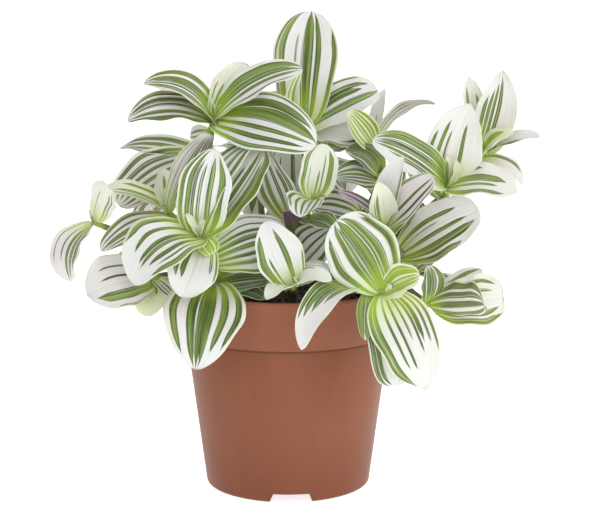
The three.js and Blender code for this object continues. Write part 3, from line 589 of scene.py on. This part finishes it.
def pot_material(name, dim):
    """Satin moulded plastic: a faint orange-peel skin, flow marks and a few fine scuffs, with
    painted shade near its foot and in the crease under the collar, and, by the given share,
    on its recess faces."""
    m = Material(name)
    clouds = m.noise(m.place(), 14.0, 3.0)
    flow = m.noise(m.place(0.12), 90.0, 3.0)
    skin = m.noise(m.place(), 900.0, 2.0, 0.6)
    grains = m.noise(m.place(), 3200.0, 1.0)
    scuffs = m.step(m.noise(m.place(6.0), 260.0, 4.0, 0.75), 0.66, 0.74)
    height = m.split(m.place())[2]
    # How far a point is from the crease under the collar, where a thin band of painted shade lies.
    crease = abs(height - (COLLAR_BOTTOM - 0.7) * MM)
    colour = m.ramp(clouds * 0.6 + flow * 0.4, (0.35, (0.226, 0.074, 0.035)), (0.65, (0.268, 0.093, 0.047)))
    # Painted shade: darker towards the foot, in the band under the collar and, by the given share, all over
    # the recess copy.
    colour = m.coat(colour, (m.step(height, 0.0, 0.055, 0.7, 0.0), (0.175, 0.050, 0.022)),
                    (m.step(crease, 0.0004, 0.0011, 0.5, 0.0), (0.085, 0.026, 0.013)),
                    (dim, (0.040, 0.014, 0.009)),
                    (m.step(grains, 0.62, 0.72) * 0.12, (0.32, 0.14, 0.09)),
                    (scuffs * 0.18, (0.36, 0.19, 0.13)))
    roughness = m.step(flow, 0.3, 0.7, 0.36, 0.46) + scuffs * 0.15
    normal = m.bump(flow, 0.10, 0.0012, Normal=m.bump(skin, 0.12, 0.0004))
    return m.finish(colour, roughness, normal, Specular_IOR_Level=0.22)


def soil_material():
    m = Material("potting_soil")
    lumps = m.noise(m.place(), 260.0, 4.0, 0.65)
    crumbs = m.noise(m.place(), 900.0, 3.0, 0.7)
    colour = m.ramp(lumps, (0.3, (0.010, 0.008, 0.006)), (0.5, (0.026, 0.020, 0.015)),
                    (0.72, (0.075, 0.056, 0.038)))
    colour = m.coat(colour, (m.step(crumbs, 0.60, 0.75, 0.0, 0.45), (0.13, 0.095, 0.062)))
    normal = m.bump(crumbs, 0.6, 0.0006, Normal=m.bump(lumps, 0.7, 0.0015))
    return m.finish(colour, m.step(crumbs, 0.2, 0.8, 0.75, 0.98), normal)


# ---- leaves
# The material slots of a leafy stem.
UPPER, UNDER, STEM, SHEATH, HAIR = range(5)
ROWS = 31
COLUMNS = 37
BASE_ROUNDED = 0.5
BEND_AT = 0.58
THICKNESS = 0.42
MARGIN_THICKNESS = 0.16
SHEATH_FOLD = 70
SHEATH_REACH = 0.08
SHEATH_THICKNESS = 0.22
STRIPE_END = 1.06
MARGIN_AT = 0.97
SHEATHS_BELOW = 0.88


def blade_profile(s, pointed):
    """Width of a blade along its length, as a share of its full width."""
    widest = BASE_ROUNDED / (BASE_ROUNDED + pointed)
    return (s / widest) ** BASE_ROUNDED * ((1 - s) / (1 - widest)) ** pointed


def random_stripes(white, rng):
    """Green stripes from margin to margin that leave about this share white."""
    stripes = []
    place = -1.0 + rng.uniform(0.0, 0.25) * white
    while place < 1.0:
        green = rng.uniform(0.08, 0.5) * (1.3 - white)
        gap = rng.uniform(0.05, 0.4) * (0.2 + white)
        stripes.append((place, min(place + green, 1.0), rng.uniform(0.8, 1.0)))
        place += green + gap
    return stripes


def read_stripes(text):
    """'-90:-40 5:20:70' is green from -90% to -40% and from 5% to 20% of the half width, with
    the left above 0. The first stripe runs to the tip, the second to 70% of the length."""
    stripes = [[float(part) / 100 for part in item.split(":")] for item in text.split()]
    return [(stripe + [STRIPE_END])[:3] for stripe in stripes]


def stripe_depth(s, t, stripes, rng):
    """How far inside a green stripe each point is, in half widths of the blade."""
    depth = np.full((len(s), len(t)), -1.0)
    for low, high, end in stripes:
        # A stripe on the margin runs past it.
        if high > MARGIN_AT:
            high += 0.2
        elif low < -MARGIN_AT:
            low -= 0.2
        middle, half = (low + high) / 2, (high - low) / 2
        taper = 1 - smooth_step(end - 0.22, end + 0.03, s)
        drift = rng.uniform(-0.04, 0.04) * np.sin(math.pi * s)
        widths = half * taper - 0.03 * (1 - taper)
        depth = np.maximum(depth, widths[:, None] - np.abs(t - middle - drift[:, None]))
    return depth


def on_both_faces(shape, *values):
    """Three values at each point of a grid, for the top and the bottom of a slab."""
    grid = np.stack([np.broadcast_to(value, shape) for value in values], axis=-1).reshape(-1, 3)
    return np.concatenate([grid, grid])


def add_blade(shells, base, spec, number, rng):
    """A thin closed leaf that bows from base to its tip and is a little wavy."""
    s = 1 - (1 - np.linspace(0, 1, ROWS)) ** 1.25
    t = np.linspace(-1, 1, COLUMNS)
    w = s[:, None]
    chord = np.array(spec.tip, float) - base
    along = unit(chord)
    across = unit(np.cross(spec.face, along))
    upper = np.cross(along, across)
    bend = base + BEND_AT * chord + 2 * spec.arch * upper + 2 * spec.sweep * across
    centre = (1 - w) ** 2 * base + 2 * w * (1 - w) * bend + w ** 2 * spec.tip
    tangent = unit((1 - w) * (bend - base) + w * (spec.tip - bend))
    side = unit(across - (tangent @ across)[:, None] * tangent)
    up = np.cross(tangent, side)

    # The blade is rolled round the stem at its base and opens along its length.
    least = np.where(s < 0.5, 1.3, 0.12)
    half = np.maximum(spec.width / 2 * blade_profile(np.clip(s, 1e-4, 1 - 1e-4), spec.point), least)
    half = half * (1 + 0.04 * np.sin(2 * math.pi * (s * rng.uniform(1.2, 2.2) + rng.uniform())))
    rolled = max(spec.fold, SHEATH_FOLD)
    fold = np.radians(spec.fold + (rolled - spec.fold) * np.exp(-s / SHEATH_REACH))
    radius = (half / fold)[:, None, None]
    sine, cosine = [turned(fold[:, None] * t)[..., None] for turned in (np.sin, np.cos)]
    middle = centre[:, None] + radius * (side[:, None] * sine + up[:, None] * (1 - cosine))
    normal = up[:, None] * cosine - side[:, None] * sine

    # A groove along the midrib, wavy margins and faint ridges over the veins.
    size = min(spec.width / 24, 1.3)
    groove = -0.45 * size * np.exp(-(t / 0.055) ** 2) * (1 - w) ** 0.4
    turns = rng.uniform(1.6, 3.0, 2)
    phase = rng.uniform(0, 2 * math.pi, 2)
    half_blade = (t > 0).astype(int)
    wave = np.sin(2 * math.pi * turns[half_blade] * w + phase[half_blade])
    wave = 0.75 * size * np.abs(t) ** 2.2 * wave * smooth_step(0.1, 0.35, w)
    ridges = 0.05 * np.cos(t * 30 + phase[0])
    lift = (groove + wave + ridges) * smooth_step(0.04, 0.25, w)
    thick = MARGIN_THICKNESS + (THICKNESS - MARGIN_THICKNESS) * (1 - np.abs(t) ** 3)
    thick = thick * (1 - 0.5 * w ** 4)
    top = middle + normal * (lift + thick / 2)[..., None]
    bottom = middle + normal * (lift - thick / 2)[..., None]

    stripes = read_stripes(spec.stripes) if spec.stripes else random_stripes(spec.white, rng)
    depth = stripe_depth(s, t, stripes, rng)
    # Painted shade and purple from a negative tone, stronger towards the tip.
    shade = max(-spec.tone, 0.0) * (0.45 + 0.55 * smooth_step(0.25, 0.75, w))
    points, above, below, edge = slab(top, bottom)
    shells.add(points, [above, edge, below], [UPPER, UPPER, UNDER],
               blade=on_both_faces(depth.shape, t, w, number),
               marks=on_both_faces(depth.shape, depth, max(spec.tone, 0.0), shade))


# ---- stems
STEM_SIDES = 14
HAIR_RADIUS = 0.075


def stem_points(control, shares):
    """Points of the smooth curve through the control points, at shares of its length."""
    p = np.array(control, float)
    p = np.vstack([2 * p[0] - p[1], p, 2 * p[-1] - p[-2]])
    spans = len(control) - 1
    x = np.clip(np.atleast_1d(shares).astype(float), 0, 1) * spans
    k = np.minimum(x.astype(int), spans - 1)
    w = (x - k)[:, None]
    start, end = p[k + 1], p[k + 2]
    leaving, arriving = 0.5 * (p[k + 2] - p[k]), 0.5 * (p[k + 3] - p[k + 1])
    return ((2 * w ** 3 - 3 * w ** 2 + 1) * start + (w ** 3 - 2 * w ** 2 + w) * leaving
            + (3 * w ** 2 - 2 * w ** 3) * end + (w ** 3 - w ** 2) * arriving)


def stem_length(plant):
    return np.linalg.norm(np.diff(np.array(plant.stem, float), axis=0), axis=1).sum()


def stem_radius(plant, shares):
    """The stem tapers to its crown and swells where each leaf grows."""
    places = np.array([one.at for one in plant.leaves])
    nearest = np.abs(shares[:, None] - places).min(1)
    return plant.radius * (1 - 0.28 * shares) + 0.5 * np.exp(-(nearest / 0.05) ** 2)


def spokes(points, angle, first=(1.0, 0.0, 0.0)):
    """Tangents of a path, and the untwisted directions at these angles round its points."""
    tangents = unit(np.gradient(points, axis=0))
    side = np.array(first)
    sides = []
    for tangent in tangents:
        side = unit(side - side.dot(tangent) * tangent)
        sides.append(side)
    sides = np.array(sides)
    others = np.cross(tangents, sides)
    return tangents, sides[:, None] * np.cos(angle)[:, None] + others[:, None] * np.sin(angle)[:, None]


def ring_places(angle, shares, number):
    """The place round and along, and the number, at each point of some rings."""
    turn, along = np.meshgrid(angle / (2 * math.pi), shares)
    return np.stack([turn.ravel(), along.ravel(), np.full(turn.size, number)], axis=1)


def add_stem(shells, plant, number, rng):
    length = stem_length(plant)
    shares = np.linspace(0, 1, max(int(length / 1.3), 12))
    centre = stem_points(plant.stem, shares)
    angle = around(STEM_SIDES)
    out = spokes(centre, angle)[1]
    # The crown end is rounded off.
    radius = stem_radius(plant, shares) * (1 - 0.35 * smooth_step(0.84, 0.98, shares))
    radius = radius * np.sqrt(np.clip(1 - ((shares - 0.93) / 0.072).clip(0, 1) ** 2, 0.01, 1))
    ribs = 1 + 0.035 * np.sin(3 * angle + rng.uniform(0, 6))
    bumps = 1 + 0.03 * np.sin(shares[:, None] * length * 0.7 + 2 * angle)
    points, faces = tube(centre[:, None] + out * (radius[:, None] * ribs * bumps)[..., None])
    ends = [[0, 0, number], [0, 1, number]]
    shells.add(points, faces, STEM, blade=np.vstack([ring_places(angle, shares, number), ends]))


def add_sheath(shells, plant, at, number, rng):
    """A thin papery tube that clasps the stem above a leaf's base, with hairs at its mouth."""
    length = stem_length(plant)
    height = rng.uniform(3.6, 5.2)
    rows = 5
    shares = min(at, 1 - 0.5 * height / length) + np.linspace(-0.25, 0.75, rows) * height / length
    centre = stem_points(plant.stem, shares)
    angle = around(STEM_SIDES)
    tangent, out = spokes(centre, angle, rng.normal(size=3))
    inner = stem_radius(plant, shares) + 0.08 + np.array([0.0, 0.0, 0.1, 0.3, 0.65])
    lean = tangent[:, None] * (0.8 * np.cos(angle) * np.linspace(0, 1, rows)[:, None])[..., None]
    outside, inside = [centre[:, None] + out * radius[:, None, None] + lean
                       for radius in (inner + SHEATH_THICKNESS, inner)]
    points = np.concatenate([outside, inside[::-1]]).reshape(-1, 3)
    # The last of the rings closes on the first.
    quads = ring_quads(2 * rows + 1, STEM_SIDES) % len(points)
    shells.add(points, [quads], SHEATH, blade=ring_places(angle, np.linspace(0, 1, 2 * rows), number))
    mouth = outside[-1]
    for k in rng.choice(STEM_SIDES, 7, replace=False):
        root = mouth[k] - tangent[-1] * 0.1
        way = unit(tangent[-1] * rng.uniform(0.6, 1.2) + unit(mouth[k] - centre[-1]) * rng.uniform(0.2, 0.9)
                   + rng.normal(size=3) * 0.15)
        add_hair(shells, root, way, rng.uniform(1.2, 2.2), rng)


def add_hair(shells, root, way, length, rng):
    """A fine tapered hair."""
    side = unit(np.cross(way, rng.normal(size=3)))
    other = np.cross(way, side)
    ring = [side, -0.5 * side + 0.866 * other, -0.5 * side - 0.866 * other]
    points = [*(root + spoke * HAIR_RADIUS for spoke in ring), root + way * length]
    shells.add(points, [[[0, 2, 1], [0, 1, 3], [1, 2, 3], [2, 0, 3]]], HAIR)


def rolled_leaf(base, way, length, rng):
    """The spear of the next leaf, still rolled up."""
    face = np.cross(way, rng.normal(size=3))
    return leaf(base + way * length, face, length * 0.62, rng.uniform(0.5, 1.5), 150, tone=0.9)


def make_shoot(plant, index, materials):
    rng = np.random.default_rng(100 + index)
    shells = Shells()
    add_stem(shells, plant, rng.uniform(0.1, 1.0), rng)
    for spec in plant.leaves:
        add_blade(shells, stem_points(plant.stem, spec.at)[0], spec, rng.uniform(0.05, 1.0), rng)
        if spec.at < SHEATHS_BELOW:
            add_sheath(shells, plant, spec.at, rng.uniform(0.0, 1.0), rng)
    neck, crown, end = stem_points(plant.stem, [0.94, 0.985, 1.0])
    young = plant.young
    if young is None:
        ways = [unit(unit(end - neck) + rng.normal(size=3) * 0.22) for _ in range(2)]
        lengths = (rng.uniform(9, 12), rng.uniform(5, 7))
        young = [rolled_leaf(crown, way, length, rng) for way, length in zip(ways, lengths)]
    for spec in young:
        add_blade(shells, crown, spec, rng.uniform(0.05, 1.0), rng)
    piece = shells.build("leafy_stem_" + plant.name, materials)
    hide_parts("shoot_" + plant.name)
    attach(piece, "root")


foliage = [
    leaf_material("leaf_upper", GREENS, WHITES, 0.85, 0.34),
    leaf_material("leaf_underside", UNDER_GREENS, UNDER_WHITES, 0.6, 0.48),
    stem_material(),
    sheath_material(),
    grained("fine_hair", 400.0, (0.62, 0.60, 0.52), (0.82, 0.82, 0.78), (0.4, 0.6), (0.2, 0.0002), 1.0),
]
for index, plant in enumerate(SHOOTS):
    make_shoot(plant, index, foliage)


# ---- pot
POT_HEIGHT = 111
BASE_RADIUS = 44.7
WALL_TOP_RADIUS = 55.6
COLLAR_RADIUS = 56.8
LIP_RADIUS = 59.5
RIM_RADIUS = 60
RIM_ROUND = 0.8
COLLAR_BOTTOM = 85
WALL = 1.6
FLOOR = 2.4
FOOT_ROUND = 2.5
POT_SIDES = 192
DRAIN_COUNT = 3
DRAIN_FIRST = math.radians(-87.5)
DRAIN_BOTTOM = 24
DRAIN_TOP = 19
DRAIN_HEIGHT = 5
DRAIN_INNER = 26
DRAIN_OUTER = 50
# The boss over a recess is drawn back into the wall where it reaches further out than this.
BOSS_REACH = 40
BOSS_DRAWN_BACK = (0.872, 0.872, 1)
HOLE_RADIUS = 4
HOLE_AT = 33
HOLE_TOP = 12
HOLE_SIDES = 32
# Larger faces below this that don't look outwards are cut faces, and the lowest take the
# recess copy of the plastic, darkened with painted shade.
CUT_TOP = 8
CUT_AREA = 3e-6
DIM_TOP = 4
# Edges that turn by more than this stay crisp.
SHARP_ANGLE = math.radians(40)


def inner_radius(height):
    share = (height - FLOOR) / (COLLAR_BOTTOM - FLOOR)
    low = BASE_RADIUS - WALL
    return low + (WALL_TOP_RADIUS - WALL - low) * share


def arc(centre, radius, start, end, steps):
    """Profile points on part of a circle, by angles in degrees."""
    angles = np.radians(np.linspace(start, end, steps))
    return [(centre[0] + radius * math.cos(a), centre[1] + radius * math.sin(a)) for a in angles]


def drain_room(angle, margin, bottom):
    """The wedge-sided room of one drain recess, grown by a margin."""
    wide, narrow, top = DRAIN_BOTTOM / 2 + margin, DRAIN_TOP / 2 + margin, DRAIN_HEIGHT + margin
    outline = [(-wide, bottom), (wide, bottom), (narrow, top), (-narrow, top)]
    out = np.array([math.cos(angle), math.sin(angle), 0])
    across = np.cross((0, 0, 1), out)
    points = [out * reach + across * x + (0, 0, z)
              for reach in (DRAIN_INNER - margin, DRAIN_OUTER) for x, z in outline]
    return points, [[[0, 3, 2, 1], [4, 5, 6, 7], [0, 1, 5, 4], [1, 2, 6, 5], [2, 3, 7, 6], [3, 0, 4, 7]]]


def drain_hole(angle):
    """The round hole through the floor at one drain recess."""
    points, faces = lathe([(HOLE_RADIUS, -1), (HOLE_RADIUS, HOLE_TOP)], HOLE_SIDES)
    return points + [HOLE_AT * math.cos(angle), HOLE_AT * math.sin(angle), 0], faces


def combine(target, operation, points, faces):
    """Joins a closed body to the target or cuts it away."""
    other = solid("other", points, faces)
    change = target.modifiers.new("combine", "BOOLEAN")
    change.operation = operation
    change.solver = "EXACT"
    change.object = other
    graph = bpy.context.evaluated_depsgraph_get()
    made = bpy.data.meshes.new_from_object(target.evaluated_get(graph))
    target.modifiers.clear()
    target.data = made
    bpy.data.objects.remove(other)


def pot_profile():
    """Radii and heights from the middle of the base, up the outside and down the inside."""
    wall, collar, lip, rim = WALL_TOP_RADIUS, COLLAR_RADIUS, LIP_RADIUS, RIM_RADIUS
    seam, top = COLLAR_BOTTOM, POT_HEIGHT
    return [*arc((BASE_RADIUS - FOOT_ROUND, FOOT_ROUND), FOOT_ROUND, -90, 0, 7),
            (wall - 0.15, seam - 1.4), (wall - 0.3, seam - 1.1), (wall - 0.3, seam - 0.4),
            (collar - 0.3, seam - 0.25), (collar, seam + 0.1), (lip - 0.02, top - 2.9),
            (lip + 0.15, top - 2.6), (rim - 0.1, top - 2.25), (rim, top - 1.9),
            *arc((rim - RIM_ROUND, top - RIM_ROUND), RIM_ROUND, 0, 180, 13),
            (rim - WALL, top - 1.4), (collar - WALL, seam + 1), (wall - WALL, seam - 1),
            (inner_radius(FLOOR + 1.5), FLOOR + 1.5), (inner_radius(FLOOR) - 1.2, FLOOR)]


def make_pot(material, recess):
    pot = solid("nursery_pot", *lathe(pot_profile(), POT_SIDES), [material, recess])
    angles = DRAIN_FIRST + around(DRAIN_COUNT)
    for angle in angles:
        points, faces = drain_room(angle, WALL, FLOOR / 2)
        points = [p if math.hypot(p[0], p[1]) < BOSS_REACH else p * BOSS_DRAWN_BACK for p in points]
        combine(pot, "UNION", points, faces)
    for angle in angles:
        combine(pot, "DIFFERENCE", *drain_room(angle, 0, -1))
        combine(pot, "DIFFERENCE", *drain_hole(angle))
    for face in pot.data.polygons:
        outward = Vector((face.center.x, face.center.y, 0)).normalized()
        sideways = abs(face.normal.dot(outward)) < 0.8
        is_cut = face.center.z < CUT_TOP * MM and sideways and face.area > CUT_AREA
        face.use_smooth = not is_cut
        # The lowest cut faces take the copy with painted shade.
        face.material_index = int(is_cut and face.center.z < DIM_TOP * MM)
    pot.data.set_sharp_from_angle(angle=SHARP_ANGLE)
    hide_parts("pot")
    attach(pot, "root")


# The recess copy of the plastic is darker by the given share: painted shade.
make_pot(pot_material("terracotta_plastic", 0.0), pot_material("terracotta_recess", 0.75))


# ---- soil
SOIL_TOP = 103.5
SOIL_RIM = 57.4
SOIL_BOTTOM = 12
SOIL_RINGS = 45
SOIL_SIDES = 168
LUMP_COUNT = 520
LUMP_AREA = 58
CRUMB_RINGS = 5
CRUMB_SIDES = 7


def make_soil(material, rng):
    """Lumpy soil with a closed body under it. Gives the function of its height."""
    least, most = (-LUMP_AREA, -LUMP_AREA, 1.2, -0.5), (LUMP_AREA, LUMP_AREA, 3.6, 1.0)
    lumps = rng.uniform(least, most, (LUMP_COUNT, 4))

    def height(x, y):
        waves = np.sin(0.31 * x + 1.3) * np.cos(0.27 * y - 0.4) + 0.6 * np.sin(0.53 * y + 0.47 * x)
        z = SOIL_TOP + 0.77 * waves
        for cx, cy, size, tall in lumps:
            z = z + tall * np.exp(-((x - cx) ** 2 + (y - cy) ** 2) / size ** 2)
        return z

    angle = around(SOIL_SIDES)
    wall_gap = WALL + 0.5
    side = [(inner_radius(SOIL_BOTTOM) - 0.5, SOIL_BOTTOM), (WALL_TOP_RADIUS - wall_gap, COLLAR_BOTTOM - 1.5),
            (COLLAR_RADIUS - wall_gap, COLLAR_BOTTOM + 2), (SOIL_RIM - 0.35, SOIL_TOP - 3)]
    surface = [(radius, 0) for radius in np.linspace(SOIL_RIM - 0.3, 0, SOIL_RINGS + 1)[:-1]]
    rings = np.array([circle(radius, z, angle) for radius, z in side + surface])
    x, y, z = rings[len(side):].transpose(2, 0, 1)
    z[:] = height(x, y)
    points, faces = tube(rings)
    points[-1, 2] = height(0, 0)
    soil = solid("soil_body", points, faces, [material])
    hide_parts("soil")
    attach(soil, "root")
    return height


def crumb_shape():
    """A round closed lump to squash into crumbs."""
    tilts = [math.pi * (i + 0.6) / (CRUMB_RINGS + 0.2) for i in range(CRUMB_RINGS)]
    return tube(np.array([circle(math.sin(tilt), -math.cos(tilt), around(CRUMB_SIDES) + 0.4 * i)
                          for i, tilt in enumerate(tilts)]))


def make_crumbs(name, count, sizes, squash, material, soil_height, rng):
    """Loose bits that lie on the soil, a little sunk in it."""
    points, faces = crumb_shape()
    shells = Shells()
    for _ in range(count):
        radius = (SOIL_RIM - 3.0) * math.sqrt(rng.uniform())
        turn = rng.uniform(0, 2 * math.pi)
        x, y = radius * math.cos(turn), radius * math.sin(turn)
        size = rng.uniform(*sizes)
        shape = points * (1 + rng.normal(size=(len(points), 1)) * 0.13)
        shape = shape * (np.array(squash) * rng.uniform(0.75, 1.25, 3)) * size
        spin, tilt = rng.uniform(0, 2 * math.pi), rng.normal() * 0.35
        shape = shape @ np.array(Euler((tilt, 0, spin)).to_matrix()).T
        lift = -shape[:, 2].min() * 0.4
        shells.add(shape + [x, y, soil_height(x, y) + lift], faces)
    piece = shells.build(name, [material], smooth=False)
    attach(piece, "root")


soil_rng = np.random.default_rng(7)
earth = soil_material()
soil_height = make_soil(earth, soil_rng)
make_crumbs("soil_crumbs", 900, (0.5, 1.5), (1, 1, 0.8), earth, soil_height, soil_rng)
crumb_finish = dict(rough=(0.7, 0.95), bump=(0.6, 0.0006), grit=0.65)
bark = grained("bark_bits", 700.0, (0.045, 0.026, 0.014), (0.16, 0.095, 0.05), **crumb_finish)
make_crumbs("bark_bits", 150, (1.0, 2.4), (1.8, 0.7, 0.35), bark, soil_height, soil_rng)
perlite = grained("perlite_bits", 700.0, (0.45, 0.43, 0.39), (0.72, 0.70, 0.66), **crumb_finish)
make_crumbs("perlite_bits", 60, (0.5, 1.1), (1, 0.9, 0.8), perlite, soil_height, soil_rng)


# ---- floor, light and camera
FLOOR_REACH = 20000
FLOOR_DEPTH = 4
# Places, sizes and aims of the lamps and the camera are in metres.
LIGHT_AIM = (0, 0, 0.14)
CAMERA_AT = (0.0066, -0.9782, 0.2978)
CAMERA_AIM = (0.0066, 0.0, 0.12445)
SENSOR_WIDTH = 36
FOCAL_LENGTH = 110.26


def make_floor(material):
    top = FLOOR_REACH * np.array([[[-1, 1, 0], [1, 1, 0]], [[-1, -1, 0], [1, -1, 0]]])
    points, *groups = slab(top, top - [0, 0, FLOOR_DEPTH])
    floor = solid("floor", points, groups, [material], smooth=False)
    floor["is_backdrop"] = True


def aim(piece, place, target):
    """Puts a lamp or the camera at a place and turns it to a target."""
    piece.location = place
    piece.rotation_euler = (Vector(target) - Vector(place)).to_track_quat("-Z", "Y").to_euler()
    bpy.context.scene.collection.objects.link(piece)


def soft_light(name, place, power, size):
    data = bpy.data.lights.new(name, "AREA")
    data.shape = "DISK"
    data.size = size
    data.energy = power
    aim(bpy.data.objects.new(name, data), place, LIGHT_AIM)


make_floor(grained("white_floor", 60.0, (0.74, 0.74, 0.74), (0.76, 0.76, 0.76), (0.85, 0.95), (0.02, 0.0005),
                   Emission_Color=(1, 1, 1, 1), Emission_Strength=0.8, Specular_IOR_Level=0.1))
soft_light("key", (0.1, -1.6, 0.9), 5.0, 1.5)
soft_light("fill", (1.4, -0.7, 0.8), 6.5, 0.9)
soft_light("top", (0.1, 0.4, 1.8), 4, 0.8)

world = bpy.data.worlds.new("studio")
world.use_nodes = True
background = world.node_tree.nodes["Background"]
background.inputs["Color"].default_value = (1, 1, 1, 1)
background.inputs["Strength"].default_value = 0.72
bpy.context.scene.world = world
bpy.context.scene.view_settings.view_transform = "Standard"

camera_data = bpy.data.cameras.new("camera")
camera_data.sensor_width = SENSOR_WIDTH
camera_data.lens = FOCAL_LENGTH
camera_data.clip_end = 100
camera = bpy.data.objects.new("camera", camera_data)
aim(camera, CAMERA_AT, CAMERA_AIM)
bpy.context.scene.camera = camera

both = {"cad": cad_box, "visual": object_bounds()}
